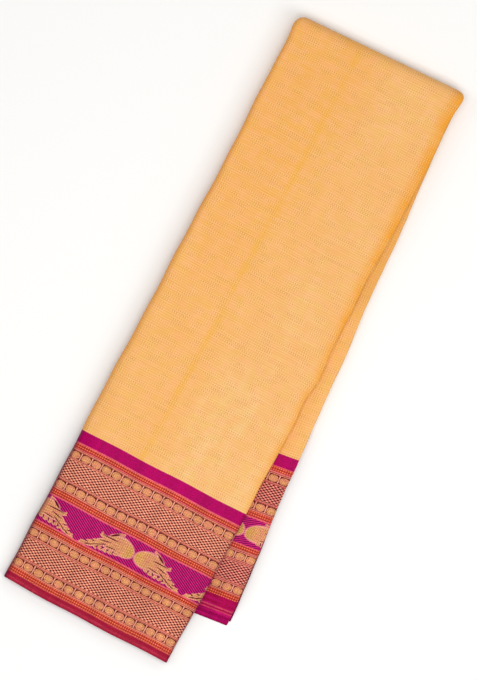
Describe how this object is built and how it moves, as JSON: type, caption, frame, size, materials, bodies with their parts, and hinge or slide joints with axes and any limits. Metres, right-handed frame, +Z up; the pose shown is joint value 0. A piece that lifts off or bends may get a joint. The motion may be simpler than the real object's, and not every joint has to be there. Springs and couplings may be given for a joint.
{
  "type": "folded silk sari",
  "caption": "Silk sari folded into a long flat packet, apricot ground with a woven magenta and gold border, back half turned out a little at one side.",
  "frame": {"origin": "on the floor, under the middle of the packet's box", "axes": "+Y along the packet towards its top fold, +X across it towards the side where the back half shows, +Z up"},
  "size_m": [0.2232, 0.6456, 0.0243],
  "materials": {
    "ground_silk": "plain-woven silk, soft sheen, fine ribs across",
    "border_silk": "silk brocaded with dull gold thread in bands, dots and birds"
  },
  "bodies": {
    "root": {"front_leaf_ground": "ground_silk", "front_leaf_border": "border_silk", "front_core_ground": "ground_silk", "front_core_border": "border_silk", "crown_leaf": "ground_silk", "crown_core": "ground_silk", "back_leaf_ground": "ground_silk", "back_leaf_border": "border_silk", "back_core_ground": "ground_silk", "back_core_border": "border_silk", "under_leaf_ground": "ground_silk", "under_leaf_border": "border_silk"}
  },
  "joints": []
}
